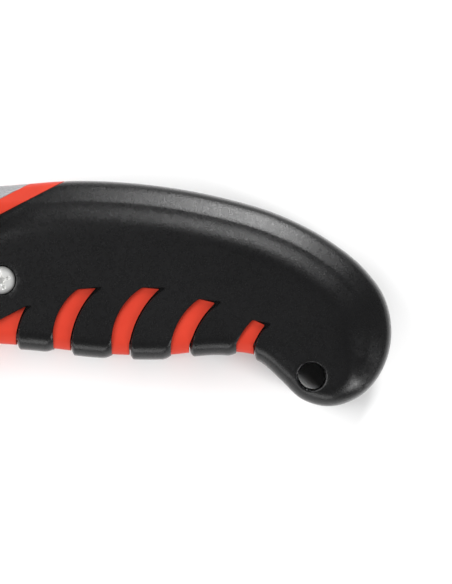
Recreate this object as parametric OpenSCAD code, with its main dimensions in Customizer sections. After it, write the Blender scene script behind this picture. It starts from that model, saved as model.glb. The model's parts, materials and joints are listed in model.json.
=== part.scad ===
// Folding pruning saw lying on its side with the blade open.
// +X runs towards the butt of the handle, +Y towards its spine, +Z up.
// Lengths are in millimetres and angles in degrees.

/* [Handle] */
// Full thickness over the two rubber grips
grip_t = 27; // [24:0.5:32]
// Full thickness over the two metal bolsters
bolster_t = 21.6; // [18:0.2:26]
// Thickness of the rubber and of the metal laid over the core
skin_t = 1.4; // [1:0.1:2]
// Width of the slot that the blade folds into
slot_w = 3.2; // [2.6:0.1:3.8]
// Radius of the lanyard hole
lanyard_r = 3.5; // [2.5:0.1:4.5]

/* [Front edge of the rubber] */
// Slope of the edge
edge_slope = 27.6; // [15:0.1:45]
// Height at which the edge crosses the middle of the handle
edge_y = 13; // [8:0.5:18]
// Width of the coloured band ahead of the edge
band_w = 3.4; // [2:0.1:6]
// Width of the ramp by which the rubber rises behind the edge
ramp_w = 4.7; // [3:0.1:7]

/* [Blade] */
// Thickness of the blade
blade_t = 1.4; // [1:0.1:2]
// Distance from the pivot to the tip
blade_reach = 181; // [150:1:182]
// Depth from the pivot's level to the blade's back
blade_back = 19; // [16:0.5:21]
// Depth from the pivot's level to the heel tooth
heel_drop = 9; // [7:0.5:11]
// Distance from the pivot to the heel tooth
heel_x = 30; // [26:1:40]
// Distance between teeth
tooth_pitch = 4.2; // [3:0.1:6]
// Depth of a gullet
tooth_h = 3.2; // [2:0.1:4]
// Angle through which the blade folds
fold_angle = 175; // [170:1:178]

/* [Lock] */
// Radius of the round tang
tang_r = 15; // [13:0.5:17]
// Angle by which the lever rocks
rock_angle = 10; // [8:1:12]
// Direction from the pivot to the lever's tooth
tooth_dir = 75; // [65:1:80]
// Thickness of the lever
lever_t = 2.6; // [2:0.1:3]

/* [Part to draw] */
// Name of the node to draw, or all

/* [Hidden] */
$fn = 48;

half_t = grip_t / 2;
half_bolster = bolster_t / 2;
half_slot = slot_w / 2;
far = 400;              // past every edge of the saw
fit = 0.05;             // running clearance on a radius
gap = 0.3;              // clearance between parts that move past each other

black = [0.13, 0.13, 0.135];
red = [0.91, 0.26, 0.17];
silver = [0.74, 0.74, 0.75];
steel = [0.66, 0.67, 0.69];
zinc = [0.80, 0.80, 0.79];
brass = [0.72, 0.56, 0.30];

// Places on the handle, from the point on it that the drawing starts at
pivot = [-112, -4];
lever_pin = [-90, 9];
pin_r = 2;
stop_r = 1.6;
stop_dir = 100;
stop_dist = tang_r + stop_r + 0.4;
lanyard = [77.8, -27.3];
grip_screw_at = [0.5, -3.3];
bolster_screws_at = [[-59.7, 9.5], [-26, 9.5]];
block_front = -63.5;
block_back = -56;

// Outline: x, y and how far the edge is rounded like the belly (1) and not bevelled like the spine (0)
outline_knots = [
    [-127, 8.5, 1], [-121, 15, 0.7], [-108, 18, 0.3], [-85, 18.7, 0], [-58, 19.1, 0], [-30, 19.4, 0],
    [0, 20.2, 0], [20, 21.5, 0], [38, 20.4, 0], [55, 17.4, 0], [70, 12.9, 0], [82, 6.7, 0],
    [91, -0.5, 0], [96, -7.5, 0], [97.8, -16, 0], [96, -24.7, 0.15], [90.5, -31.8, 0.75],
    [82, -34.75, 1], [75.5, -33, 1], [70, -28, 1], [64.5, -23.4, 1], [57, -22.1, 1],
    [40, -23.1, 1], [24, -22.6, 1], [8, -20.8, 1], [-15, -19.8, 1], [-40, -20.2, 1],
    [-70, -20.5, 1], [-100, -20, 1], [-117, -18, 1], [-126.5, -11, 1], [-129, -1, 1]
];
knot_steps = 4;

// Rim profile from the parting plane to past the flat side: distance in from the outline, and height
rim_top = half_t + 1;
spine_rim = [[0, 0], [0, 4], [0.7, 7.2], [2.4, 9.4], [5, 11], [12, rim_top]];
belly_rim = [[0, 0], [0, 8], [0.4, 10.2], [1.3, 11.9], [2.4, 12.9], [4.8, rim_top]];
rim_tilt = [0, 10, 25, 45, 62, 90];

// Finger windows: top left, top right, bottom left, bottom right
windows = [
    [[19.6, -5.6], [24.1, -5.4], [13.4, -18.8], [17.5, -19]],
    [[35.6, -5.3], [39.8, -5.6], [28, -19], [32.3, -19.8]],
    [[49.8, -8], [53.8, -9], [42.8, -19.5], [47.4, -20]],
    [[63.2, -13.2], [66.2, -14.5], [59, -19.5], [63.1, -20]]
];
window_bow = [1.9, 1.3];            // how far the left and right edges of a full window bow out
window_rise = 13.2;                 // height of a full window
first_window = [6.7, -9.8];         // top corner of the window cut off by the front of the rubber
first_window_foot = [4.1, -19];
belly_floor = -30;                  // below the whole belly

notch_floor = 12.4;                 // the notch for the lever's tooth, from the pivot
notch_top = 18;
tooth_tip = 12.8;                   // the lever's tooth, from the pivot
tooth_root = 16.8;
lever_boss_r = 4.8;
pad_w = 8;
spring_t = 0.6;
washer_r = 8;

plain_tip = 8;                      // length without teeth behind the tip
tooth_count = floor((blade_reach - heel_x - plain_tip) / tooth_pitch);
nose_drop = 0.6;                    // the last tooth's level below the pivot's
arc_start = 100;                    // where the blade's back starts to curve down
stop_at = pivot + stop_dist * [cos(stop_dir), sin(stop_dir)];
stop_reach = 7;                     // how far the stop pin runs into each half

head_r = 3.5;
head_h = 2.6;
shank_r = 2;
nut_r = 4.04;
nut_h = 3.2;
counterbore_r = 4.1;
nut_pocket_r = 4.3;
grip_head_z = half_t - 0.5;
bolster_head_z = half_bolster - 0.3;
pivot_head_r = 7.5;
pivot_head_h = 2.6;
pivot_edge = 0.8;                   // height of the sloping edge of the pivot's head
pivot_socket_r = 2.9;
pivot_socket_floor = 0.4;           // thickness left under the socket
pivot_seat = half_bolster - skin_t;
bush_r = 4;
pivot_shank_r = 3;
pivot_nut_r = 5.77;
pivot_nut_h = 5;
pivot_nut_seat = -pivot_seat + 2.8;

// Box of the saw in the handle's own coordinates: the frame's origin is the middle of its base
butt_end = 97.8;
lowest = -34.75;
highest = 21.51;
frame_x = (pivot[0] - blade_reach + butt_end) / 2;
frame_y = (lowest + highest) / 2;

// ---------- curves ----------

function chord(knots, i) = let(n = len(knots), a = knots[i % n], b = knots[(i + 1) % n])
    norm([b[0] - a[0], b[1] - a[1]]);

// Slope at a knot, weighted by the chords on each side of it
function slope(knots, i) = let(
        n = len(knots),
        before = chord(knots, i + n - 1),
        after = chord(knots, i),
        arriving = (knots[i % n] - knots[(i + n - 1) % n]) / before,
        leaving = (knots[(i + 1) % n] - knots[i % n]) / after
    ) (arriving * after + leaving * before) / (before + after);

function between(knots, i, t) = let(
        n = len(knots),
        d = chord(knots, i),
        a = knots[i],
        b = knots[(i + 1) % n]
    ) (2*t*t*t - 3*t*t + 1) * a + (t*t*t - 2*t*t + t) * d * slope(knots, i)
    + (3*t*t - 2*t*t*t) * b + (t*t*t - t*t) * d * slope(knots, i + 1);

function smooth_loop(knots, steps) =
    [for (i = [0:len(knots) - 1], s = [0:steps - 1]) between(knots, i, s / steps)];

// Unit vector into a clockwise loop at point i
function inward(loop, i) = let(
        n = len(loop),
        d = loop[(i + 1) % n] - loop[(i + n - 1) % n],
        along = [d[0], d[1]] / norm([d[0], d[1]])
    ) [along[1], -along[0]];

// Points of an arc from a to b that stands off its chord by bow, to the right as seen along it
function arc_pts(a, b, bow, steps) = let(
        c = norm(b - a),
        r = (c*c/4 + bow*bow) / (2 * bow),
        half = asin(c / 2 / r),
        along = (b - a) / c,
        side = [along[1], -along[0]],
        centre = (a + b) / 2 + side * (bow - r)
    ) [for (s = [0:steps]) let(t = -half + 2*half*s/steps)
        centre + r * (side * cos(t) + along * sin(t))];

// ---------- the handle's outside ----------

outline = smooth_loop(outline_knots, knot_steps);

function rim_point(i, k, inset, base) = let(
        edge = outline[i],
        mix = min(1, max(0, edge[2])),
        rim = spine_rim[k] * (1 - mix) + belly_rim[k] * mix,
        at = [edge[0], edge[1]] + inward(outline, i) * (rim[0] + inset * cos(rim_tilt[k]))
    ) [at[0], at[1], k == 0 ? base : rim[1] - inset * sin(rim_tilt[k])];

// Upper half of the handle, shrunk by the inset
module rim_solid(inset, base) {
    n = len(outline);
    rings = len(spine_rim);
    polyhedron(
        points = [for (k = [0:rings - 1], i = [0:n - 1]) rim_point(i, k, inset, base)],
        faces = concat(
            [[for (i = [n - 1:-1:0]) i]],
            [for (k = [0:rings - 2], i = [0:n - 1]) [k*n + i, k*n + (i + 1) % n, (k + 1)*n + (i + 1) % n]],
            [for (k = [0:rings - 2], i = [0:n - 1]) [k*n + i, (k + 1)*n + (i + 1) % n, (k + 1)*n + i]],
            [[for (i = [0:n - 1]) (rings - 1)*n + i]]
        )
    );
}

// Frame on the front edge of the rubber: x along it, y ahead of it
module on_edge() {
    translate([0, edge_y, 0])
        rotate([0, 0, edge_slope])
            children();
}

// Everything below the flat sides, with the ramp from the bolster up to the rubber
module side_limit(inset) {
    on_edge()
        rotate([90, 0, 90])
            linear_extrude(height = 2 * far, center = true)
                polygon([
                    [-far, -5], [far, -5], [far, half_bolster - inset],
                    [0, half_bolster - inset], [-ramp_w, half_t - inset], [-far, half_t - inset]
                ]);
}

module handle_half(inset, base = 0) {
    intersection() {
        rim_solid(inset, base);
        side_limit(inset);
    }
}

module ahead_of_band() {
    on_edge()
        translate([-far, band_w, -1])
            cube([2 * far, far, 2 * half_t]);
}

module band() {
    on_edge()
        translate([-far, 0, -1])
            cube([2 * far, band_w, 2 * half_t]);
}

module window_shape(w) {
    size = ((w[0][1] - w[2][1]) / window_rise)^2;
    polygon(concat(
        arc_pts(w[2], w[0], -size * window_bow[0], 6),
        arc_pts(w[1], w[3], size * window_bow[1], 6),
        [[w[3][0], belly_floor], [w[2][0], belly_floor]]
    ));
}

module first_window_shape() {
    run = (first_window[1] - belly_floor) / tan(edge_slope);
    polygon(concat(
        [[first_window[0] - run, belly_floor]],
        arc_pts(first_window, first_window_foot, window_bow[1] / 2, 6),
        [[first_window_foot[0], belly_floor]]
    ));
}

// Everything that the rubber covers
module rubber_area() {
    translate([0, 0, -1])
        linear_extrude(height = 2 * half_t)
            difference() {
                on_edge()
                    translate([-far, -far])
                        square([2 * far, far]);
                first_window_shape();
                for (w = windows)
                    window_shape(w);
            }
}

// ---------- hollows in each half ----------

module blade_slot() {
    linear_extrude(height = slot_w, center = true) {
        translate([-far, -far])
            square([far + block_back, 2 * far]);
        translate(pivot)
            rotate(fold_angle)
                polygon([
                    [-40, -heel_drop - 1.5], [-blade_reach - 1.6, -nose_drop - 1.5],
                    [-blade_reach - 1.6, 60], [-40, 60]
                ]);
    }
}

module pad_pocket() {
    translate([-88.5, lever_pin[1] + 3, -5])
        cube([88.5 + block_front, 20, 10]);
}

module lanyard_hole() {
    rim = 0.9;
    translate([lanyard[0], lanyard[1], 0]) {
        cylinder(h = 2 * grip_t, r = lanyard_r, center = true);
        translate([0, 0, half_t - rim])
            cylinder(h = 2 * rim, r1 = lanyard_r, r2 = lanyard_r + 2 * rim);
    }
}

module at(place, z) {
    translate([place[0], place[1], z])
        children();
}

module bores() {
    at(lever_pin, -1)
        cylinder(h = pivot_seat + 1, r = pin_r + 0.02);
    at(stop_at, -1)
        cylinder(h = stop_reach + 1, r = stop_r + 0.02);
    at(pivot, -1)
        cylinder(h = grip_t, r = bush_r + fit);
    for (place = concat([grip_screw_at], bolster_screws_at))
        at(place, -1)
            cylinder(h = grip_t, r = shank_r + 0.1);
    lanyard_hole();
}

module head_pockets() {
    at(pivot, pivot_seat)
        cylinder(h = half_t, r = pivot_head_r + 0.25);
    at(grip_screw_at, grip_head_z - head_h)
        cylinder(h = half_t, r = counterbore_r);
    for (place = bolster_screws_at)
        at(place, bolster_head_z - head_h)
            cylinder(h = half_t, r = counterbore_r);
}

module nut_pockets() {
    at(pivot, -pivot_nut_seat)
        cylinder(h = half_t, r = pivot_nut_r + 0.25, $fn = 6);
    at(grip_screw_at, half_t - nut_h - 0.6)
        cylinder(h = half_t, r = nut_pocket_r, $fn = 6);
    for (place = bolster_screws_at)
        at(place, half_bolster - nut_h - 0.4)
            cylinder(h = half_t, r = nut_pocket_r, $fn = 6);
}

// ---------- placing ----------

module in_frame() {
    translate([-frame_x, -frame_y, half_t])
        children();
}

// The lower half is the upper one turned over
module upper() {
    in_frame()
        children();
}

module lower() {
    in_frame()
        mirror([0, 0, 1])
            children();
}

// ---------- handle parts ----------

module core_half() {
    difference() {
        union() {
            handle_half(skin_t);
            intersection() {
                handle_half(0);
                band();
            }
        }
        blade_slot();
        pad_pocket();
        bores();
    }
}

module grip_half() {
    difference() {
        intersection() {
            handle_half(0);
            rubber_area();
        }
        handle_half(skin_t, -1);
        blade_slot();
        bores();
    }
}

module bolster_half() {
    difference() {
        intersection() {
            handle_half(0);
            ahead_of_band();
        }
        handle_half(skin_t, -1);
        blade_slot();
        pad_pocket();
        bores();
    }
}

module core_left() {
    color(red)
        upper()
            difference() {
                core_half();
                head_pockets();
            }
}

module core_right() {
    color(red)
        lower()
            difference() {
                core_half();
                nut_pockets();
            }
}

module grip_left() {
    color(black)
        upper()
            difference() {
                grip_half();
                head_pockets();
            }
}

module grip_right() {
    color(black)
        lower()
            difference() {
                grip_half();
                nut_pockets();
            }
}

module bolster_left() {
    color(silver)
        upper()
            difference() {
                bolster_half();
                head_pockets();
            }
}

module bolster_right() {
    color(silver)
        lower()
            difference() {
                bolster_half();
                nut_pockets();
            }
}

// ---------- blade and pivot ----------

// Notch for the lever's tooth, or the tooth itself, pointing away from the pivot
module lock_tooth(floor_r, top_r, clearance) {
    root = 1.6 + clearance;
    tip = 2.4 + clearance;
    rotate(tooth_dir)
        polygon([[floor_r, -root], [top_r, -tip], [top_r, tip], [floor_r, root]]);
}

// One side of the blade with a tooth line of pull teeth
module blade_shape() {
    fall = (heel_drop - nose_drop) / (tooth_count * tooth_pitch);
    teeth = [for (i = [0:tooth_count - 1])
        let(x = heel_x + i * tooth_pitch, y = -heel_drop + fall * i * tooth_pitch)
        each [[-x, y], [-x - 0.72 * tooth_pitch, y + tooth_h]]];
    out = [cos(stop_dir), sin(stop_dir)];
    aside = (stop_r + gap) * [-sin(stop_dir), cos(stop_dir)];
    polygon(concat(
        [[-2, -heel_drop], [-heel_x + 0.8, -heel_drop]],
        teeth,
        [[-blade_reach + 1.2, -nose_drop]],
        arc_pts([-blade_reach, 0.6], [-arc_start, blade_back - 1.4], -4, 10),
        [(blade_back + 0.3) * out + aside, 12 * out + aside]
    ));
}

module blade() {
    color(steel)
        in_frame()
            at(pivot, 0)
                difference() {
                    union() {
                        linear_extrude(height = blade_t, center = true)
                            blade_shape();
                        cylinder(h = blade_t, r = tang_r, center = true);
                    }
                    cylinder(h = 2 * blade_t, r = bush_r + fit, center = true);
                    for (turn = [0, -fold_angle])
                        rotate([0, 0, turn])
                            linear_extrude(height = 2 * blade_t, center = true)
                                lock_tooth(notch_floor, notch_top, gap);
                }
}

module pivot_bush() {
    color(brass)
        in_frame()
            at(pivot, pivot_nut_seat)
                difference() {
                    cylinder(h = pivot_seat - pivot_nut_seat, r = bush_r);
                    translate([0, 0, -1])
                        cylinder(h = grip_t, r = pivot_shank_r + 0.1);
                }
}

module pivot_bolt() {
    color(zinc)
        in_frame()
            difference() {
                union() {
                    at(pivot, pivot_seat)
                        cylinder(h = pivot_head_h - pivot_edge, r = pivot_head_r);
                    at(pivot, pivot_seat + pivot_head_h - pivot_edge)
                        cylinder(h = pivot_edge, r1 = pivot_head_r, r2 = pivot_head_r - 1.5 * pivot_edge);
                    at(pivot, pivot_nut_seat - pivot_nut_h)
                        cylinder(h = pivot_seat - pivot_nut_seat + pivot_nut_h, r = pivot_shank_r);
                }
                at(pivot, pivot_seat + pivot_socket_floor)
                    cylinder(h = pivot_head_h, r = pivot_socket_r, $fn = 6);
            }
}

module hex_nut(r, h, bore) {
    difference() {
        cylinder(h = h, r = r, $fn = 6);
        translate([0, 0, -1])
            cylinder(h = h + 2, r = bore);
    }
}

module pivot_nut() {
    color(zinc)
        in_frame()
            at(pivot, pivot_nut_seat - pivot_nut_h)
                hex_nut(pivot_nut_r, pivot_nut_h, pivot_shank_r);
}

module pivot_washers() {
    washer_t = half_slot - blade_t / 2 - 2 * fit;
    color(brass)
        in_frame()
            for (side = [0, 1])
                mirror([0, 0, side])
                    at(pivot, blade_t / 2 + fit)
                        difference() {
                            cylinder(h = washer_t, r = washer_r);
                            translate([0, 0, -1])
                                cylinder(h = 3, r = bush_r + fit);
                        }
}

// ---------- lock ----------

// The lever is drawn locked and then rocked to its released position
module released() {
    at(lever_pin, 0)
        rotate([0, 0, -rock_angle])
            at(-lever_pin, 0)
                children();
}

module lever_arms() {
    polygon([
        [-110.3, 14.6], [-96, 14], [-86, 16.2], [-66, 17], [-65.5, 14.5], [-84, 10.5],
        [-88, 5], [-92, 5.2], [-105.4, 11.3], [-110.3, 12.4]
    ]);
}

module lock_lever() {
    color(steel)
        in_frame()
            released()
                difference() {
                    union() {
                        linear_extrude(height = lever_t, center = true)
                            lever_arms();
                        at(pivot, 0)
                            linear_extrude(height = lever_t, center = true)
                                lock_tooth(tooth_tip, tooth_root, 0);
                        at(lever_pin, 0)
                            cylinder(h = lever_t, r = lever_boss_r, center = true);
                    }
                    at(lever_pin, 0)
                        cylinder(h = 2 * lever_t, r = pin_r + fit, center = true);
                }
}

module pad_shape() {
    rib_r = 0.8;
    polygon([[-85, 16.24], [-66.5, 16.98], [-67.2, 18.9], [-84, 18.3]]);
    for (i = [0:4])
        translate([-82.4 + 3.3 * i, 18.35 + 0.12 * i])
            circle(r = rib_r);
}

module lock_pad() {
    color(red)
        in_frame()
            released()
                linear_extrude(height = pad_w, center = true)
                    pad_shape();
}

module lock_pin() {
    color(steel)
        in_frame()
            at(lever_pin, 0)
                cylinder(h = 2 * pivot_seat - 0.4, r = pin_r, center = true);
}

module stop_pin() {
    color(steel)
        in_frame()
            at(stop_at, 0)
                cylinder(h = 2 * stop_reach, r = stop_r, center = true);
}

module leaf_shape(thick) {
    polygon([
        [-57.5, 6], [-65, 6], [-80, 8.3], [-82.5, 7.7],
        [-82.5, 7.7 + thick], [-80, 8.3 + thick], [-65, 6 + thick], [-57.5, 6 + thick]
    ]);
}

module lock_spring() {
    color(steel)
        in_frame()
            linear_extrude(height = lever_t, center = true)
                leaf_shape(spring_t);
}

module spring_block() {
    color(silver)
        in_frame()
            difference() {
                linear_extrude(height = slot_w - 0.1, center = true)
                    difference() {
                        polygon([
                            [block_front, 3], [block_back, 2.4], [block_back, 17.6], [block_front, 17.4]
                        ]);
                        leaf_shape(spring_t);
                    }
                at(bolster_screws_at[0], 0)
                    cylinder(h = 9, r = shank_r + 0.1, center = true);
            }
}

// ---------- screws ----------

// Pan head screw with its head's top at the origin
module pan_screw(length) {
    crown = 0.9;
    difference() {
        union() {
            translate([0, 0, -head_h])
                cylinder(h = head_h - crown, r = head_r);
            translate([0, 0, -crown])
                cylinder(h = crown, r1 = head_r, r2 = head_r - 1.1);
            translate([0, 0, -head_h - length])
                cylinder(h = length + 0.1, r = shank_r);
        }
        for (turn = [0, 90])
            rotate([0, 0, turn + 20])
                translate([-2.3, -0.5, -1.5])
                    cube([4.6, 1, 3]);
    }
}

module grip_screw() {
    color(zinc)
        in_frame()
            at(grip_screw_at, grip_head_z)
                pan_screw(grip_head_z - head_h + half_t - 0.8);
}

module bolster_screws() {
    color(zinc)
        in_frame()
            for (place = bolster_screws_at)
                at(place, bolster_head_z)
                    pan_screw(bolster_head_z - head_h + half_bolster - 0.6);
}

module handle_nuts() {
    color(zinc)
        in_frame() {
            at(grip_screw_at, -half_t + 0.6)
                hex_nut(nut_r, nut_h, shank_r);
            for (place = bolster_screws_at)
                at(place, -half_bolster + 0.4)
                    hex_nut(nut_r, nut_h, shank_r);
        }
}

grip_left();
grip_right();
core_left();
core_right();
bolster_left();
bolster_right();
blade();
pivot_bush();
pivot_bolt();
pivot_nut();
pivot_washers();
lock_lever();
lock_pad();
lock_pin();
lock_spring();
spring_block();
stop_pin();
grip_screw();
bolster_screws();
handle_nuts();
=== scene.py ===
"""Visual model of a folding pruning saw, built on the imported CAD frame."""

import json
import math

import bpy
import numpy as np
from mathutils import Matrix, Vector
from mathutils.geometry import delaunay_2d_cdt


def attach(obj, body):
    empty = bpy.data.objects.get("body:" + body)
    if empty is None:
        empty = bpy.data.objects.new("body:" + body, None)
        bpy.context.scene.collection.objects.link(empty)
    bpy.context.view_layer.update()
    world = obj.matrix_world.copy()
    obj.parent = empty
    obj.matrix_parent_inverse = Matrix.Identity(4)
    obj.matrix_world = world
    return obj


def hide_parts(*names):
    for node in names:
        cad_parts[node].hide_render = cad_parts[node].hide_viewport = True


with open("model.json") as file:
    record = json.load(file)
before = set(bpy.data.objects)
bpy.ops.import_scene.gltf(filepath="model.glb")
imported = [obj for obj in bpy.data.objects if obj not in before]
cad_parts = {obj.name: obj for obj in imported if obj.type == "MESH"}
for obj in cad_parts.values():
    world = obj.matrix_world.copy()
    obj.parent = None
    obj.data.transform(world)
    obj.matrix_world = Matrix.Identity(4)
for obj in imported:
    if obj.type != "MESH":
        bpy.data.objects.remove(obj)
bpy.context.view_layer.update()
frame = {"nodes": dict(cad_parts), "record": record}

# ---------------------------------------------------------------- sizes
# Lengths are in millimetres in the handle's own coordinates, with z measured
# from its parting plane. to_frame() turns them into the row frame.

GRIP_HALF = 13.5
BOLSTER_HALF = 10.8
SLOT_HALF = 1.6
RUBBER_T = 1.1
BOLSTER_SKIN_T = 1.3
PIVOT = (-112.0, -4.0)
LANYARD = (77.8, -27.3)
LANYARD_R = 3.5
LANYARD_TUBE_R = 4.7
GRIP_SCREW = (0.5, -3.3)
BOLSTER_SCREWS = ((-59.7, 9.5), (-26.0, 9.5))
EDGE_Y = 13.0
EDGE_SLOPE = math.radians(27.6)
BAND_W = 3.4
RAMP_W = 4.7
BLOCK_BACK = -56.0
POCKET = (-88.5, -63.5, 12.0)     # left end, right end and lower side of the pocket for the lock's pad
POCKET_HALF = 5.0
SLOT_HEEL = (-40.0, -10.5)        # line beside the teeth, on the open blade and from the pivot
SLOT_TIP = (-182.6, -2.1)
FOLD = math.radians(175)
STEP = 1e-2          # run of a step that has to be steep
HEAD_R = 3.5
HEAD_H = 2.6
HEAD_FALL = 0.62     # how much lower the head's edge is than its middle
HEAD_ROUND = 0.25    # rounding of the head's edge
SHANK_R = 1.95
SHANK_SHORT = 0.9      # how far a shank's end is below the far side
SHANK_HOLE_R = 2.2
GRIP_SEAT_AND_SHADE_R = 4.8      # solid seat in the core, and a floor of black rubber under the grip screw's head that is partly painted shade: it keeps the recess's floor dark
HEAD_POCKETS = (3.75, 7.75)          # radius of the round pockets, for the screws and for the pivot bolt
NUT_POCKETS = (4.35, 6.05)           # radius over the corners of the six-sided ones
HEAD_FLOORS = (10.4, 7.9, 9.4)       # height of the pockets' floors: grip screw, bolster screws, pivot
NUT_FLOORS = (9.7, 7.2, 6.6)
GRIP_LIP = 0.22
BOLSTER_LIP = 0.25
PIVOT_LIP = 0.3
LANYARD_LIP = 0.5
LIP_SHARES = (0.04, 0.13, 0.3, 0.55, 1.0)      # where the loops over a hole's rounded rim stand
EDGE_ROUND = 0.3       # rounding of the rubber's and the bolster's edges along the band
RECESS = 1.5
RECESS_REACH = 2.35
RECESS_TURN = math.radians(18)
ARM_HALF = 0.62      # half width of the recess's arms at the middle, and how they narrow outwards
ARM_TAPER = 0.1
ARM_WALL = 0.16      # run of the arms' side walls and of their ends
ARM_END = 0.5
PIT_R = 0.9          # radius of the pit in the middle, and the run of its wall
PIT_WALL = 0.3
GRIP_HEAD_Z = 13.0
BOLSTER_HEAD_Z = 10.5
SCREW_SIDES = 120

pivot_joint = next(j for j in frame["record"]["behaviour"]["joints"] if j["name"] == "blade_fold")
ORIGIN = np.array(pivot_joint["pos_m"]) * 1000 - np.array((*PIVOT, 0.0))


def to_frame(points):
    return (np.asarray(points, float) + ORIGIN) / 1000


# x, y and how far the edge is rounded like the belly (1) and not bevelled like the spine (0)
OUTLINE_KNOTS = np.array([
    (-127, 8.5, 1), (-121, 15, 0.7), (-108, 18, 0.3), (-85, 18.7, 0), (-58, 19.1, 0), (-30, 19.4, 0),
    (0, 20.2, 0), (20, 21.5, 0), (38, 20.4, 0), (55, 17.4, 0), (70, 12.9, 0), (82, 6.7, 0),
    (91, -0.5, 0), (96, -7.5, 0), (97.8, -16, 0), (96, -24.7, 0.15), (90.5, -31.8, 0.75),
    (82, -34.75, 1), (75.5, -33, 1), (70, -28, 1), (64.5, -23.4, 1), (57, -22.1, 1),
    (40, -23.1, 1), (24, -22.6, 1), (8, -20.8, 1), (-15, -19.8, 1), (-40, -20.2, 1),
    (-70, -20.5, 1), (-100, -20, 1), (-117, -18, 1), (-126.5, -11, 1), (-129, -1, 1),
], float)

# Rim profiles: distance in from the outline, and height
SPINE_RIM = np.array([
    (0, 3.6), (0.12, 5.0), (0.25, 6.6), (0.45, 7.6), (0.8, 8.3), (1.3, 8.84), (2.5, 9.62), (3.8, 10.36),
    (5.05, 11.09), (5.35, 11.2), (6.0, 11.4), (6.8, 11.71), (7.6, 12.05), (8.4, 12.4), (9.2, 12.73),
    (10.0, 13.02), (10.8, 13.25), (11.6, 13.41), (12.4, 13.5),
])
BELLY_RIM = np.array([
    (0, 7.6), (0.08, 8.8), (0.25, 9.8), (0.45, 10.45), (0.7, 11.0), (1.0, 11.52), (1.3, 11.93), (1.6, 12.26),
    (1.9, 12.52), (2.2, 12.73), (2.5, 12.91), (2.8, 13.06), (3.1, 13.18), (3.4, 13.28), (3.7, 13.36),
    (4.0, 13.42), (4.3, 13.46), (4.6, 13.49), (5.0, 13.5),
])

# Where the rim ends on the low front part, and how far its end moves in over the ramp behind it
SPINE_SEAT = 4.3
BELLY_SEAT = 0.62
SPINE_RISE = 6.7
BELLY_RISE = 4.2
RAMP_SOFT = (0.4, 2.6)     # blend of the rim with the ramp: least, and more of it by the spine
SEAT_SOFT = 0.02

# Finger windows at their red floor: top left, top right, bottom left, bottom right
WINDOWS = (
    ((19.6, -5.6), (24.1, -5.3), (13.4, -18.8), (17.6, -19.0)),
    ((35.6, -5.2), (39.9, -5.5), (28.0, -19.0), (32.3, -19.8)),
    ((49.8, -8.0), (53.8, -9.0), (42.8, -19.5), (47.4, -20.0)),
    ((63.2, -13.2), (66.2, -14.5), (59.0, -19.5), (63.1, -20.0)),
)
WINDOW_BOWS = (1.9, 1.3)      # how far the left and right edges of a full-size window bow
WINDOW_RISE = 13.2            # height of a full-size window
FIRST_WINDOW = (6.7, -9.8)
FIRST_FOOT = (4.1, -19.0)
BELLY_FLOOR = -30.0
SIDE_GAP = 0.42      # gap between the red and the rubber on a window's butt side
TAIL_GAP = 0.5       # how much wider it is at the upper corner
TAIL = np.array([1.55, 0.3])
GAP_DEPTH = 2.6
SIDE_WALL = 0.07     # rounding of the rubber beside the gap
FAR_WALL = 0.14      # rounding of the rubber beside the red
SIDE_FALL = 0.25     # how far the rubber falls at these two edges
FAR_FALL = 0.2
SIDE_TAPER = 0.75    # how much wider the two roundings are at the belly
FAR_TAPER = 2.2
BELLY_TAPER = 5.0    # width of the strip by the belly that the ribs fall off in
BELLY_TAPER_TOP = 5.5
BELLY_Y = -14.0
WINDOW_REACH = 34.0  # no point further than this from a window's middle is changed by it

# Lines that the plan's triangles follow: beside the windows, and on both sides of the band
RIB_LOOPS = (-STEP * 2, 0, 0.03, 0.07, 0.12, 0.2, 0.35, 0.6, 0.95, 1.4, 1.9, 2.4)
WIDE_RIB_LOOP = 0.3      # loops further out than this are only needed by the belly
WIDE_LOOPS_Y = -15.5
PLAN_BOTTOM = -27.0
RAMP_LINES = (0, -STEP * 2, -0.07, -0.16, -EDGE_ROUND, -1, -2.3, -3.6, -RAMP_W, -5.6)
BAND_LINES = (BAND_W, BAND_W + STEP * 2, BAND_W + 0.08, BAND_W + 0.18, BAND_W + EDGE_ROUND)
GRID = 2.6               # spacing of the points on the flat, and how far in from the outline it starts
GRID_MARGIN = 12.8

# ---------------------------------------------------------------- fields over the handle's plan


def smooth_loop(knots, steps):
    """Closed Hermite curve through the knots, with slopes weighted by the chords beside them."""
    following = np.roll(knots, -1, 0)
    after = np.linalg.norm((following - knots)[:, :2], axis=1)[:, None]
    before = np.roll(after, 1, 0)
    arriving = (knots - np.roll(knots, 1, 0)) / before
    leaving = (following - knots) / after
    slope = (arriving * after + leaving * before) / (before + after)
    next_slope = np.roll(slope, -1, 0)
    rows = []
    for t in np.arange(steps) / steps:
        rows.append((2*t**3 - 3*t**2 + 1) * knots + (t**3 - 2*t**2 + t) * after * slope
                    + (3*t**2 - 2*t**3) * following + (t**3 - t**2) * after * next_slope)
    return np.stack(rows, 1).reshape(-1, 3)


def resample(points, spacing, closed=False):
    """The same path with points at an even spacing."""
    path = np.vstack([points, points[:1]]) if closed else points
    run = np.r_[0, np.cumsum(np.linalg.norm(np.diff(path[:, :2], axis=0), axis=1))]
    count = max(2, int(round(run[-1] / spacing)))
    at = np.linspace(0, run[-1], count + 1)
    if closed:
        at = at[:-1]
    return np.stack([np.interp(at, run, path[:, c]) for c in range(path.shape[1])], 1)


def inward_of(loop):
    """Unit vectors into a clockwise loop."""
    along = np.roll(loop, -1, 0)[:, :2] - np.roll(loop, 1, 0)[:, :2]
    along /= np.linalg.norm(along, axis=1)[:, None]
    return np.stack([along[:, 1], -along[:, 0]], 1)


OUTLINE = resample(smooth_loop(OUTLINE_KNOTS, 24), 1.1, closed=True)
OUTLINE[:, 2] = OUTLINE[:, 2].clip(0, 1)
INWARD = inward_of(OUTLINE)


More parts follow.
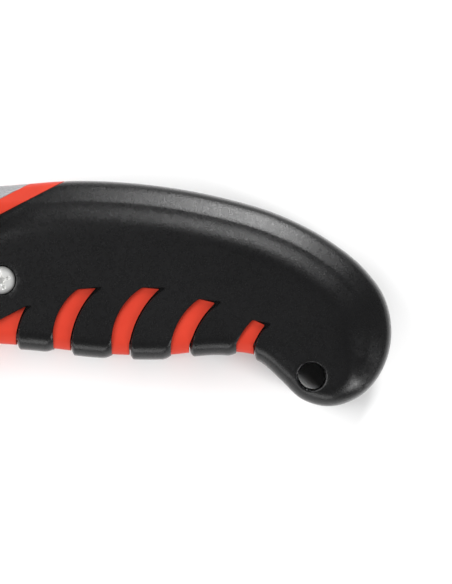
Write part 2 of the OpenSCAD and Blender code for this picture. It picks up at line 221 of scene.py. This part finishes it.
def nearest_on(path, closed, q):
    """Distance from each point of q to the path, and the nearest segment's index and fraction."""
    a = path[:, :2]
    b = np.roll(a, -1, 0)
    if not closed:
        a, b = a[:-1], b[:-1]
    ab = b - a
    size = (ab**2).sum(1)
    best = [np.empty(len(q)), np.empty(len(q), int), np.empty(len(q))]
    for start in range(0, len(q), 2000):
        part = q[start:start + 2000, None, :]
        t = (((part - a) * ab).sum(2) / size).clip(0, 1)
        gap = np.linalg.norm(part - (a + t[..., None] * ab), axis=2)
        i = gap.argmin(1)
        rows = np.arange(len(i))
        best[0][start:start + 2000] = gap[rows, i]
        best[1][start:start + 2000] = i
        best[2][start:start + 2000] = t[rows, i]
    return best


def is_inside(polygon, q):
    """True for the points of q that are inside a closed polygon."""
    x, y = q[:, 0], q[:, 1]
    hit = np.zeros(len(q), bool)
    last = polygon[-1]
    for p in polygon:
        crosses = (p[1] > y) != (last[1] > y)
        if crosses.any():
            hit ^= crosses & (x < (last[0] - p[0]) * (y - p[1]) / (last[1] - p[1] + 1e-12) + p[0])
        last = p
    return hit


def ahead(q):
    """How far a point is ahead of the rubber's front edge."""
    return -q[:, 0] * math.sin(EDGE_SLOPE) + (q[:, 1] - EDGE_Y) * math.cos(EDGE_SLOPE)


def smooth_step(x):
    x = np.clip(x, 0, 1)
    return x * x * (3 - 2 * x)


def smooth_min(a, b, k):
    h = np.clip(0.5 + 0.5 * (b - a) / k, 0, 1)
    return b * (1 - h) + a * h - k * h * (1 - h)


def seat_of(mix):
    """Distance from the outline where the rim meets the low front part of the handle."""
    return SPINE_SEAT * (1 - mix) + BELLY_SEAT * mix


def base_surface(q):
    """Points and normals of the handle's outer skin over the points q, with their way to the outline."""
    d, i, t = nearest_on(OUTLINE, True, q)
    j = (i + 1) % len(OUTLINE)
    mix = OUTLINE[i, 2] * (1 - t) + OUTLINE[j, 2] * t
    u = INWARD[i] * (1 - t)[:, None] + INWARD[j] * t[:, None]
    u /= np.linalg.norm(u, axis=1)[:, None]
    behind = np.maximum(0, -ahead(q))
    ramp = seat_of(mix) + behind * (SPINE_RISE * (1 - mix) + BELLY_RISE * mix) / RAMP_W
    ramp_soft = RAMP_SOFT[0] + RAMP_SOFT[1] * (1 - mix) * smooth_step(behind / 2)
    soft = np.where(behind > 0, ramp_soft, SEAT_SOFT)
    reach = np.where(ramp > d + soft, d, smooth_min(d, ramp, soft))
    m = mix[:, None]
    rim_d = SPINE_RIM[:, 0] * (1 - m) + BELLY_RIM[:, 0] * m
    rim_z = SPINE_RIM[:, 1] * (1 - m) + BELLY_RIM[:, 1] * m
    z = np.full(len(q), GRIP_HALF)
    rise = np.zeros(len(q))
    for k in range(rim_d.shape[1] - 1):
        here = (reach >= rim_d[:, k]) & (reach < rim_d[:, k + 1])
        slope = (rim_z[:, k + 1] - rim_z[:, k]) / (rim_d[:, k + 1] - rim_d[:, k])
        z = np.where(here, rim_z[:, k] + (reach - rim_d[:, k]) * slope, z)
        rise = np.where(here & (d <= ramp), slope, rise)
    normal = np.column_stack([-u * rise[:, None], np.ones(len(q))])
    on_rim = d < 1e-4
    normal[on_rim] = np.column_stack([-u, np.zeros(len(q))])[on_rim]
    normal /= np.linalg.norm(normal, axis=1)[:, None]
    return np.column_stack([q, z]), normal, d


def folded(point):
    """A point of the open blade, measured from the pivot, where it is when the blade is folded."""
    c, s = math.cos(FOLD), math.sin(FOLD)
    return np.array([PIVOT[0] + c * point[0] - s * point[1], PIVOT[1] + s * point[0] + c * point[1]])


def web_line():
    """Edge of the solid web between the core's halves: beside the folded teeth and past the folded tip."""
    heel, tip, below = folded(SLOT_HEEL), folded(SLOT_TIP), folded((SLOT_TIP[0], 60))
    start = heel + (tip - heel) * (BLOCK_BACK - heel[0]) / (tip[0] - heel[0])
    return np.array([(BLOCK_BACK, 60), start, tip, below])


WEB_LINE = web_line()
WEB = np.vstack([WEB_LINE, (200, WEB_LINE[-1, 1]), (200, 60)])


def slot_floor(q):
    """Height of the core's inner face: the parting plane in the web, half the slot elsewhere."""
    floor = np.where(is_inside(WEB, q), 0.0, SLOT_HALF)
    return np.where(in_pocket(q), POCKET_HALF, floor)


def in_pocket(q):
    """True for the points over the pocket that the lock's pad moves in."""
    low, high, y = POCKET
    return (q[:, 0] > low) & (q[:, 0] < high) & (q[:, 1] > y)


def over_pocket(q, p):
    """Lifts the skin's points clear of the pocket."""
    inside = in_pocket(q)
    p[inside, 2] = np.maximum(p[inside, 2], POCKET_HALF + STEP)
    return p


# ---------------------------------------------------------------- outlines cut into the skin

def arc(a, b, bow, count=40):
    """Arc from a to b standing off its chord by bow, to the right as seen along it."""
    a, b = np.array(a, float), np.array(b, float)
    c = np.linalg.norm(b - a)
    r = (c * c / 4 + bow * bow) / (2 * bow)
    half = math.asin(c / 2 / r)
    along = (b - a) / c
    side = np.array([along[1], -along[0]])
    centre = (a + b) / 2 + side * (bow - r)
    t = np.linspace(-half, half, count)[:, None]
    return centre + r * (side * np.cos(t) + along * np.sin(t))


def soften(path, reach, closed=False):
    """Rounds corners by a running mean over so many points each side."""
    ends = path[:reach], path[-reach:]
    rows = [np.roll(path, s, 0) for s in range(-reach, reach + 1)]
    out = np.mean(rows, 0)
    if not closed:
        out[:reach], out[-reach:] = ends
    return out


def offset(path, distance):
    """The open path moved to its left by a distance."""
    along = np.gradient(path, axis=0)
    along /= np.linalg.norm(along, axis=1)[:, None]
    return path + distance * np.stack([-along[:, 1], along[:, 0]], 1)


def opened(right):
    """The edge of the rubber beside a window's right edge, with a pointed tail at the upper corner."""
    fraction = np.linspace(0, 1, len(right))
    width = SIDE_GAP + TAIL_GAP * np.clip(1 - fraction / 0.3, 0, 1)**2
    edge = offset(right, width[:, None])
    return np.vstack([right[:1] + TAIL, edge])


def window_paths(left, right):
    """The red's edge and the rubber's edge of one window, clockwise from the foot of its left side."""
    paths = []
    for side in (right, opened(right)):
        foot = np.array([[side[-1, 0], BELLY_FLOOR]])
        paths.append(soften(resample(np.vstack([left, side, foot]), 0.3), 1))
    return paths


def full_window(w):
    top_left, top_right, low_left, low_right = w
    size = ((top_left[1] - low_left[1]) / WINDOW_RISE)**2
    left = np.vstack([[(low_left[0], BELLY_FLOOR)], arc(low_left, top_left, -size * WINDOW_BOWS[0])])
    return window_paths(left, arc(top_right, low_right, size * WINDOW_BOWS[1]))


def first_window():
    """The window that the rubber's front edge would cut off."""
    run = (FIRST_WINDOW[1] - BELLY_FLOOR) / math.tan(EDGE_SLOPE)
    left = np.array([[FIRST_WINDOW[0] - run, BELLY_FLOOR], FIRST_WINDOW])
    return window_paths(left, arc(FIRST_WINDOW, FIRST_FOOT, WINDOW_BOWS[1] / 2)[1:])


WINDOW_PATHS = [first_window()] + [full_window(w) for w in WINDOWS]


def rib_drop(q, d):
    """How far the rubber falls beside its openings: a small rounding, and a long taper near the belly."""
    fall = np.zeros(len(q))
    belly = smooth_step((BELLY_TAPER_TOP - d) / BELLY_TAPER) * (q[:, 1] < BELLY_Y)
    for _, path in WINDOW_PATHS:
        near = np.abs(q[:, 0] - path[:, 0].mean()) < WINDOW_REACH
        t, i, _ = nearest_on(path, False, q[near])
        butt_side = i > path[:, 0].argmax() - 2
        strip = belly[near]
        lip = np.where(butt_side, SIDE_WALL + SIDE_TAPER * strip, FAR_WALL + FAR_TAPER * strip)
        depth = np.where(butt_side, SIDE_FALL + 0.8 * strip, FAR_FALL + 0.6 * strip)
        fall[near] = np.maximum(fall[near], depth * (1 - np.clip(t / lip, 0, 1))**1.8)
    return fall


def ring(centre, r, sides=72):
    angle = np.arange(sides) * 2 * math.pi / sides
    return np.array(centre) + r * np.stack([np.cos(angle), np.sin(angle)], 1)


def hexagon(centre, r):
    corners = ring(centre, r, 6)
    return soften(resample(corners, 0.3, closed=True), 1, closed=True)


# ---------------------------------------------------------------- triangulating the plan

class Plan:
    """Points and edges that the triangulation of the handle's plan has to keep."""

    def __init__(self):
        self.points = []
        self.edges = []

    def add(self, path, closed=False):
        n = len(path)
        first = len(self.points)
        self.points.extend(map(tuple, path[:, :2]))
        last = n if closed else n - 1
        self.edges.extend((first + i, first + (i + 1) % n) for i in range(last))

    def scatter(self, points):
        self.points.extend(map(tuple, points))

    def triangles(self):
        result = delaunay_2d_cdt([Vector(p) for p in self.points], self.edges, [], 0, 1e-5)
        points = np.array([tuple(p) for p in result[0]])
        return points, np.array([f for f in result[2] if len(f) == 3])


def keep_runs(plan, path, keep):
    """Adds only the stretches of a path whose points are kept."""
    first = len(plan.points)
    plan.points.extend(map(tuple, path[:, :2]))
    for i in range(len(path) - 1):
        if keep[i] and keep[i + 1]:
            plan.edges.append((first + i, first + i + 1))


def edge_line(v):
    """Points along the line that is v ahead of the rubber's front edge."""
    u = np.arange(-90.0, 40.0, 1.0)[:, None]
    along = np.array([math.cos(EDGE_SLOPE), math.sin(EDGE_SLOPE)])
    across = np.array([-math.sin(EDGE_SLOPE), math.cos(EDGE_SLOPE)])
    return np.array([0, EDGE_Y]) + u * along + v * across


def handle_plan(holes):
    """Triangulation of the whole outline that follows every ring, window, edge line and hole."""
    plan = Plan()
    mix = OUTLINE[:, 2:3]
    for k in range(len(SPINE_RIM)):
        d = SPINE_RIM[k, 0] * (1 - mix) + BELLY_RIM[k, 0] * mix
        plan.add(OUTLINE[:, :2] + INWARD * d, closed=True)
    plan.add(OUTLINE[:, :2] + INWARD * seat_of(mix), closed=True)
    plan.add(OUTLINE[:, :2] + INWARD * (RUBBER_T + STEP), closed=True)
    for red_edge, rubber_edge in WINDOW_PATHS:
        plan.add(red_edge)
        plan.add(offset(red_edge, STEP * 2))
        for t in RIB_LOOPS:
            line = offset(rubber_edge, t)
            keep = line[:, 1] > PLAN_BOTTOM
            if t > WIDE_RIB_LOOP:
                keep &= line[:, 1] < WIDE_LOOPS_Y
            keep_runs(plan, line, keep)
    for v in RAMP_LINES + BAND_LINES:
        plan.add(edge_line(v))
    for hole in holes:
        for outline in hole["loops"]:
            plan.add(outline, closed=True)
    web = resample(WEB_LINE, 2.0)
    plan.add(offset(web, -STEP))
    plan.add(offset(web, STEP))
    low, high, y = POCKET
    for out in (-STEP, STEP):
        box = np.array([(low - out, 40), (low - out, y - out), (high + out, y - out), (high + out, 40)])
        plan.add(resample(box, 2.0))
    gx, gy = np.meshgrid(np.arange(-128, 98, GRID), np.arange(-36, 23, GRID))
    grid = np.stack([gx.ravel(), gy.ravel()], 1)
    grid = grid[is_inside(OUTLINE, grid)]
    plan.scatter(grid[nearest_on(OUTLINE, True, grid)[0] > GRID_MARGIN])
    points, faces = plan.triangles()
    centre = points[faces].mean(1)
    faces = faces[is_inside(OUTLINE, centre)]
    a, b, c = (points[faces[:, k]] for k in range(3))
    area = (b[:, 0] - a[:, 0]) * (c[:, 1] - a[:, 1]) - (b[:, 1] - a[:, 1]) * (c[:, 0] - a[:, 0])
    faces = faces[np.abs(area) > 1e-9]
    area = area[np.abs(area) > 1e-9]
    faces[area < 0] = faces[area < 0][:, ::-1]
    return points, faces


# ---------------------------------------------------------------- meshes

def new_object(name, vertices, faces, smooth_angle=38):
    mesh = bpy.data.meshes.new(name)
    mesh.from_pydata([tuple(v) for v in to_frame(vertices)], [], [tuple(map(int, f)) for f in faces])
    mesh.validate()
    mesh.update()
    mesh.shade_smooth()
    mesh.set_sharp_from_angle(angle=math.radians(smooth_angle))
    obj = bpy.data.objects.new(name, mesh)
    bpy.context.collection.objects.link(obj)
    return obj


def slab(faces, top, bottom, floor=None, on_outline=None):
    """Closed solid between two skins over some of the plan's triangles, with a skirt at the outline."""
    used = np.unique(faces)
    index = np.full(len(top), -1)
    index[used] = np.arange(len(used))
    faces = index[faces]
    n = len(used)
    top, bottom = top[used], bottom[used]
    vertices = [top, bottom]
    polygons = [tuple(f) for f in faces] + [tuple(f[::-1] + n) for f in faces]
    sides = {(f[k], f[(k + 1) % 3]) for f in faces for k in range(3)}
    rim = [(a, b) for a, b in sides if (b, a) not in sides]
    if floor is None:
        polygons += [(b, a, a + n, b + n) for a, b in rim]
        return np.vstack(vertices), polygons
    vertices += [np.column_stack([top[:, :2], floor[used]]), np.column_stack([bottom[:, :2], floor[used]])]
    at_outline = on_outline[used]
    ends = np.zeros(n, int)
    for a, b in rim:
        if not (at_outline[a] and at_outline[b]):
            polygons.append((b, a, a + n, b + n))
            continue
        polygons += [(b, a, a + 2*n, b + 2*n),
                     (b + 2*n, a + 2*n, a + 3*n, b + 3*n),
                     (b + 3*n, a + 3*n, a + n, b + n)]
        ends[a] += 1
        ends[b] -= 1
    polygons += [(i, i + n, i + 3*n, i + 2*n) for i in np.where(ends > 0)[0]]
    polygons += [(i, i + 2*n, i + 3*n, i + n) for i in np.where(ends < 0)[0]]
    vertices = np.vstack(vertices)
    used = np.unique(np.concatenate([np.array(p) for p in polygons]))
    index = np.full(len(vertices), -1)
    index[used] = np.arange(len(used))
    return vertices[used], [tuple(index[list(p)]) for p in polygons]


def turned_over(vertices, faces):
    """The same solid on the other side of the parting plane."""
    return vertices * (1, 1, -1), [f[::-1] for f in faces]


def hole(centre, edge, lip, floor=None):
    """A hole in the skin: edge is its outline, lip its rim's rounding, floor the height of its bottom."""
    middle = np.array(centre)
    out = edge - middle
    r = np.linalg.norm(out, axis=1)[:, None]
    loops = [edge]
    for share in LIP_SHARES:
        loops.append(middle + out * (r + lip * share) / r)
    loops.append(middle + out * (r - STEP) / r)
    return {"edge": edge, "floor": floor, "lip": lip, "loops": loops}


def handle_holes(left):
    """The holes of one half: round pockets for heads on the left, six-sided ones for nuts on the right."""
    outline = ring if left else hexagon
    pocket_r, pivot_r = HEAD_POCKETS if left else NUT_POCKETS
    grip_floor, bolster_floor, pivot_floor = HEAD_FLOORS if left else NUT_FLOORS
    holes = [hole(GRIP_SCREW, outline(GRIP_SCREW, pocket_r), GRIP_LIP, grip_floor),
             hole(LANYARD, ring(LANYARD, LANYARD_R), LANYARD_LIP),
             hole(PIVOT, outline(PIVOT, pivot_r), PIVOT_LIP, pivot_floor)]
    for place in BOLSTER_SCREWS:
        holes.append(hole(place, outline(place, pocket_r), BOLSTER_LIP, bolster_floor))
    holes[0]["loops"].append(ring(GRIP_SCREW, GRIP_SEAT_AND_SHADE_R + 0.5))
    holes[1]["loops"] += [ring(LANYARD, LANYARD_TUBE_R), ring(LANYARD, LANYARD_TUBE_R + STEP)]
    return holes


def deep_in(q, h):
    """True for the points on the floor of a hole."""
    return is_inside(h["edge"], q) & (nearest_on(h["edge"], True, q)[0] > STEP / 2)


def lip_drop(q, h):
    """Rounding of a hole's rim."""
    t = nearest_on(h["edge"], True, q)[0]
    outside = ~is_inside(h["edge"], q)
    s = np.clip(t / h["lip"], 0, 1)
    return np.where(outside, h["lip"] * (1 - np.sqrt(np.clip(1 - (1 - s)**2, 0, 1))), 0)


def beside_red(q, clear_of_red):
    """True for the points in the gaps beside the red. clear_of_red leaves out the red's own edge."""
    found = np.zeros(len(q), bool)
    for red_edge, rubber_edge in WINDOW_PATHS:
        near = np.abs(q[:, 0] - rubber_edge[:, 0].mean()) < WINDOW_REACH
        part = q[near]
        gap = is_inside(rubber_edge, part) & (nearest_on(rubber_edge, False, part)[0] > STEP)
        from_red = nearest_on(red_edge, False, part)[0]
        if clear_of_red:
            gap &= ~is_inside(red_edge, part) & (from_red > STEP)
        else:
            gap &= ~is_inside(red_edge, part) | (from_red < STEP / 2)
        found[near] |= gap
    return found


def half_shells(left):
    """Vertices and faces of the rubber grip, the core and the bolster of one half."""
    grip_screw, lanyard, *metal_holes = handle_holes(left)
    q, faces = handle_plan([grip_screw, lanyard, *metal_holes])
    base, normal, d = base_surface(q)
    lead = ahead(q)
    floor = slot_floor(q)
    on_outline = d < 1e-3
    from_screw = np.linalg.norm(q - np.array(GRIP_SCREW), axis=1)
    from_lanyard = np.linalg.norm(q - np.array(LANYARD), axis=1)

    def sunk(fall):
        return base - normal * np.broadcast_to(fall, len(q))[:, None]

    def lowered(p, where, z):
        p[where, 2] = np.minimum(p[where, 2], z)
        return p

    def rounded(t, r):
        return r * (1 - np.sqrt(1 - (1 - np.clip(t / r, 0, 1))**2))

    fall = rib_drop(q, d)
    for h in (grip_screw, lanyard):
        fall = np.maximum(fall, lip_drop(q, h))
    fall = np.maximum(fall, rounded(-lead, EDGE_ROUND))
    fall = np.where(beside_red(q, False), GAP_DEPTH - 0.3, fall)
    # The rubber's wall and floor in the grip screw's recess are partly painted shade: a dark sheet laid
    # where the red core would otherwise show in the recess's shade.
    rubber_top = lowered(sunk(fall), deep_in(q, grip_screw), grip_screw["floor"])
    rubber_bottom = sunk(np.where(beside_red(q, False), GAP_DEPTH - 0.05, RUBBER_T))
    rubber_bottom[from_lanyard < LANYARD_TUBE_R + STEP / 2, 2] = 0
    rubber_bottom = lowered(rubber_bottom, from_screw < GRIP_SEAT_AND_SHADE_R - 0.2, grip_screw["floor"] - 0.3)

    cover = np.where(lead > BAND_W + STEP, BOLSTER_SKIN_T, np.where(lead < -STEP, RUBBER_T, 0.0))
    core_top = sunk(np.where(beside_red(q, True), GAP_DEPTH, cover))
    core_top = lowered(core_top, from_screw < GRIP_SEAT_AND_SHADE_R + 0.2, grip_screw["floor"] - 0.4)
    for h in metal_holes:
        core_top = lowered(core_top, deep_in(q, h), h["floor"])
    core_top = over_pocket(q, core_top)
    core_bottom = np.column_stack([core_top[:, :2], floor])

    fall = rounded(lead - BAND_W, EDGE_ROUND)
    for h in metal_holes:
        fall = np.maximum(fall, lip_drop(q, h))
    bolster_top = over_pocket(q, sunk(fall))
    bolster_bottom = over_pocket(q, sunk(BOLSTER_SKIN_T))

    centre = q[faces].mean(1)
    lead = ahead(centre)
    shank = np.linalg.norm(centre - np.array(GRIP_SCREW), axis=1) < SHANK_HOLE_R
    from_lanyard = np.linalg.norm(centre - np.array(LANYARD), axis=1)
    in_red = np.any([is_inside(red_edge, centre) for red_edge, _ in WINDOW_PATHS], axis=0)
    in_metal = np.any([is_inside(h["edge"], centre) for h in metal_holes], axis=0)
    grip = faces[(lead < 0) & ~in_red & ~shank & (from_lanyard > LANYARD_R)]
    core = faces[~shank & (from_lanyard > LANYARD_TUBE_R)]
    bolster = faces[(lead > BAND_W) & ~in_metal]
    return (slab(grip, rubber_top, rubber_bottom, floor, on_outline),
            slab(core, core_top, core_bottom),
            slab(bolster, bolster_top, bolster_bottom, floor, on_outline))


def screw(centre, head_z, length):
    """Pan head screw with a cross recess, as rings from the middle of the head to the shank's end."""
    turn = np.arange(SCREW_SIDES) * 2 * math.pi / SCREW_SIDES
    flat_r = HEAD_R - HEAD_ROUND
    rings = [(r, -HEAD_FALL * (r / HEAD_R)**2) for r in np.arange(0.1, flat_r, 0.1)]
    low = -HEAD_FALL - HEAD_ROUND
    for a in np.linspace(0.2, 1.57, 6):
        rings.append((flat_r + HEAD_ROUND * math.sin(a), low + HEAD_ROUND * math.cos(a)))
    end = -HEAD_H - length
    rings += [(HEAD_R, -HEAD_H), (SHANK_R, -HEAD_H - STEP), (SHANK_R, end), (0.2, end)]
    rows = []
    for r, z in rings:
        x, y = r * np.cos(turn), r * np.sin(turn)
        rows.append(np.column_stack([x, y, z - (recess(x, y) if z > low else 0 * x)]))
    points = np.vstack([[(0, 0, -RECESS)], *rows, [(0, 0, end)]])
    faces = [(0, 1 + k, 1 + (k + 1) % SCREW_SIDES) for k in range(SCREW_SIDES)]
    for i in range(len(rings) - 1):
        a = 1 + i * SCREW_SIDES
        b = a + SCREW_SIDES
        for k in range(SCREW_SIDES):
            n = (k + 1) % SCREW_SIDES
            faces.append((a + k, b + k, b + n, a + n))
    last = 1 + (len(rings) - 1) * SCREW_SIDES
    faces += [(last + k, len(points) - 1, last + (k + 1) % SCREW_SIDES) for k in range(SCREW_SIDES)]
    return points + (*centre, head_z), faces


def recess(x, y):
    """Depth of the cross recess: four tapering arms and a deeper middle."""
    c, s = math.cos(RECESS_TURN), math.sin(RECESS_TURN)
    u, v = np.abs(x * c + y * s), np.abs(y * c - x * s)
    along, across = np.maximum(u, v), np.minimum(u, v)
    width = ARM_HALF - ARM_TAPER * along
    side = np.clip((width - across) / ARM_WALL, 0, 1)
    end = np.clip((RECESS_REACH - along) / ARM_END, 0, 1)
    r = np.hypot(x, y)
    middle = np.clip(1.25 - r, 0, 1)
    arms = side * end * (0.75 + 0.75 * middle)
    return np.maximum(arms, RECESS * np.clip((PIT_R - r) / PIT_WALL, 0, 1))


def joined(parts):
    """Several meshes as one."""
    points, faces = [], []
    for p, f in parts:
        first = sum(len(x) for x in points)
        points.append(p)
        faces += [tuple(i + first for i in face) for face in f]
    return np.vstack(points), faces


# ---------------------------------------------------------------- materials

class Shader:
    """Short calls for building a node material."""

    def __init__(self, name):
        self.material = bpy.data.materials.new(name)
        self.material.use_nodes = True
        self.tree = self.material.node_tree
        self.bsdf = self.tree.nodes["Principled BSDF"]
        self.place = self.add("ShaderNodeTexCoord").outputs["Object"]

    def add(self, kind, **inputs):
        node = self.tree.nodes.new(kind)
        for name, value in inputs.items():
            self.set(node, name.replace("_", " "), value)
        return node

    def set(self, node, name, value):
        socket = node.inputs[name]
        if isinstance(value, bpy.types.NodeSocket):
            self.tree.links.new(value, socket)
        else:
            socket.default_value = value

    def noise(self, scale, detail=3.0, rough=0.55, stretch=(1, 1, 1)):
        mapping = self.add("ShaderNodeMapping", Vector=self.place)
        mapping.inputs["Scale"].default_value = stretch
        return self.add("ShaderNodeTexNoise", Vector=mapping.outputs[0], Scale=scale, Detail=detail,
                        Roughness=rough).outputs["Fac"]

    def ramp(self, fac, low, high, start=0.3, end=0.7):
        node = self.add("ShaderNodeValToRGB", Fac=fac)
        node.color_ramp.elements[0].position = start
        node.color_ramp.elements[1].position = end
        node.color_ramp.elements[0].color = (*low, 1)
        node.color_ramp.elements[1].color = (*high, 1)
        return node.outputs["Color"]

    def span(self, fac, low, high):
        node = self.add("ShaderNodeMapRange", Value=fac)
        node.inputs["To Min"].default_value = low
        node.inputs["To Max"].default_value = high
        return node.outputs[0]

    def bump(self, height, strength, distance, under=None):
        node = self.add("ShaderNodeBump", Height=height, Strength=strength, Distance=distance)
        if under is not None:
            self.set(node, "Normal", under)
        return node.outputs[0]

    def finish(self, **inputs):
        for name, value in inputs.items():
            self.set(self.bsdf, name.replace("_", " "), value)
        return self.material


def rubber_material(name, low, high, level):
    s = Shader(name)
    cloud = s.noise(60, 4)
    grain = s.noise(3000, 3, 0.7)
    normal = s.bump(grain, 0.5, 7e-5, s.bump(s.noise(1500, 3, 0.7), 0.14, 1e-4))
    return s.finish(Base_Color=s.ramp(cloud, low, high),
                    Roughness=s.span(s.noise(900, 4, 0.7), 0.20, 0.36),
                    Specular_IOR_Level=level, Normal=normal)


def plastic_material(name, low, high):
    s = Shader(name)
    normal = s.bump(s.noise(3600, 2), 0.16, 3e-5, s.bump(s.noise(160, 3), 0.08, 2e-4))
    return s.finish(Base_Color=s.ramp(s.noise(90, 4), low, high),
                    Roughness=s.span(s.noise(500, 3), 0.48, 0.62),
                    Specular_IOR_Level=0.15, Normal=normal)


def blasted_material(name):
    s = Shader(name)
    speck = s.noise(3400, 3, 0.8)
    normal = s.bump(speck, 0.55, 6e-5)
    return s.finish(Base_Color=s.ramp(speck, (0.14, 0.14, 0.145), (0.34, 0.34, 0.345)), Metallic=0.25,
                    Roughness=s.span(s.noise(900, 3), 0.42, 0.6), Normal=normal)


def metal_material(name, low, high, rough, stretch=(1, 1, 1), scale=900, strength=0.12, metallic=1.0):
    s = Shader(name)
    line = s.noise(scale, 4, 0.6, stretch)
    smear = s.noise(70, 3)
    return s.finish(Base_Color=s.ramp(smear, low, high), Metallic=metallic,
                    Roughness=s.span(line, rough[0], rough[1]), Normal=s.bump(line, strength, 3e-5))


def give(obj, material):
    """The object's every slot shows this material."""
    if not obj.data.materials:
        obj.data.materials.append(material)
    for slot in obj.material_slots:
        slot.material = material


def half(left):
    """The three visual pieces of one half."""
    side = "left" if left else "right"
    kinds = (("grip", "grip_rubber", RUBBER),
             ("core", "red_nylon", RED),
             ("bolster", "blasted_aluminium", SILVER))
    for (kind, slot, material), (vertices, faces) in zip(kinds, half_shells(left)):
        if not left:
            vertices, faces = turned_over(vertices, faces)
        obj = new_object(f"{kind}_{side}_skin", vertices, faces)
        give(obj, material)
        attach(obj, "handle")
        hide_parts(f"{kind}_{side}")


RUBBER = rubber_material("grip_rubber_look", (0.0026, 0.0026, 0.0028), (0.0042, 0.0042, 0.0045), 0.28)
RED = plastic_material("red_nylon_look", (0.42, 0.027, 0.012), (0.49, 0.037, 0.017))
SILVER = blasted_material("blasted_aluminium_look")
PAD = rubber_material("pad_rubber_look", (0.012, 0.012, 0.012), (0.02, 0.02, 0.02), 0.3)
STEEL = metal_material("blade_steel_look", (0.52, 0.53, 0.55), (0.62, 0.63, 0.65), (0.24, 0.4),
                       (0.04, 1, 1), 2600, 0.2)
LEVER = metal_material("lever_steel_look", (0.36, 0.36, 0.37), (0.46, 0.46, 0.47), (0.34, 0.5))
ZINC = metal_material("zinc_plate_look", (0.62, 0.62, 0.61), (0.76, 0.76, 0.74), (0.26, 0.42), metallic=0.6)
BRASS = metal_material("bushing_brass_look", (0.66, 0.45, 0.20), (0.76, 0.54, 0.26), (0.25, 0.4))
PIN = metal_material("pin_steel_look", (0.55, 0.55, 0.56), (0.68, 0.68, 0.70), (0.2, 0.34))
SPRING = metal_material("spring_steel_look", (0.30, 0.31, 0.33), (0.42, 0.43, 0.46), (0.25, 0.4))
BLOCK = metal_material("block_aluminium_look", (0.55, 0.55, 0.56), (0.66, 0.66, 0.67), (0.4, 0.55))

WORN_EDGE = 1.2e-4      # width of the bevel on the CAD's own edges, in metres

NODE_LOOKS = {
    "blade": STEEL, "pivot_bush": BRASS, "pivot_bolt": ZINC, "pivot_nut": ZINC, "pivot_washers": ZINC,
    "lock_lever": LEVER, "lock_pad": PAD, "lock_pin": PIN, "lock_spring": SPRING, "spring_block": BLOCK,
    "stop_pin": PIN, "handle_nuts": ZINC,
}


def screws(name, places, head_z, nut_side):
    """The screws that stand for one CAD node."""
    length = head_z - HEAD_H + nut_side - SHANK_SHORT
    vertices, faces = joined([screw(place, head_z, length) for place in places])
    obj = new_object(name + "_look", vertices, faces, 50)
    give(obj, ZINC)
    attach(obj, "handle")
    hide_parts(name)


half(left=True)
half(left=False)
screws("grip_screw", [GRIP_SCREW], GRIP_HEAD_Z, GRIP_HALF)
screws("bolster_screws", BOLSTER_SCREWS, BOLSTER_HEAD_Z, BOLSTER_HALF)
for name, material in NODE_LOOKS.items():
    node = frame["nodes"][name]
    give(node, material)
    edge = node.modifiers.new("worn_edge", "BEVEL")
    edge.width = WORN_EDGE
    edge.segments = 2
    edge.limit_method = "ANGLE"
    edge.harden_normals = False

# ---------------------------------------------------------------- floor, lights and camera
# Sizes and distances here are in metres, unlike the camera's place.

FLOOR_HALF = 3.0
LIGHT_DISTANCE = 1.6
WORLD_GREY = 0.23
PHOTO_MIDDLE = (56.5, -6.25)
CAMERA_HEIGHT = 3000.0
SENSOR = 36.0
CAMERA_LENS = 739.7


def floor_sheet():
    size = FLOOR_HALF
    mesh = bpy.data.meshes.new("floor")
    corners = [(-size, -size, 0), (size, -size, 0), (size, size, 0), (-size, size, 0)]
    mesh.from_pydata(corners, [], [(0, 1, 2, 3)])
    obj = bpy.data.objects.new("floor", mesh)
    bpy.context.collection.objects.link(obj)
    s = Shader("studio_floor")
    colour = s.ramp(s.noise(6, 3), (0.88, 0.88, 0.88), (0.92, 0.92, 0.92))
    give(obj, s.finish(Base_Color=colour, Roughness=0.9, Specular_IOR_Level=0.1))


def softbox(name, azimuth, elevation, size, radiance):
    """Area light that faces the middle of the photographed end of the handle."""
    a, e = math.radians(azimuth), math.radians(elevation)
    aim = Vector(to_frame((*PHOTO_MIDDLE, 0.0)))
    away = Vector((math.cos(a) * math.cos(e), math.sin(a) * math.cos(e), math.sin(e)))
    data = bpy.data.lights.new(name, "AREA")
    data.shape = "RECTANGLE"
    data.size, data.size_y = size
    data.energy = radiance * math.pi * size[0] * size[1]
    obj = bpy.data.objects.new(name, data)
    obj.location = aim + away * LIGHT_DISTANCE
    obj.visible_camera = False
    obj.rotation_euler = away.to_track_quat("Z", "Y").to_euler()
    bpy.context.collection.objects.link(obj)


floor_sheet()
softbox("key", 72, 27, (0.36, 0.7), 32.0)
softbox("belly", -108, 24, (1.8, 0.7), 4.2)
softbox("left", 165, 52, (1.0, 1.0), 6.5)
softbox("corner", -34, 30, (0.5, 0.6), 16.0)

world = bpy.data.worlds.new("studio")
world.use_nodes = True
world.node_tree.nodes["Background"].inputs["Color"].default_value = (WORLD_GREY, WORLD_GREY, WORLD_GREY, 1)
bpy.context.scene.world = world

camera_data = bpy.data.cameras.new("photo_camera")
camera_data.sensor_fit = "VERTICAL"
camera_data.sensor_height = SENSOR
camera_data.lens = CAMERA_LENS
camera = bpy.data.objects.new("photo_camera", camera_data)
camera.location = to_frame((*PHOTO_MIDDLE, CAMERA_HEIGHT))
bpy.context.collection.objects.link(camera)
bpy.context.scene.camera = camera
bpy.context.scene.view_settings.view_transform = "Standard"
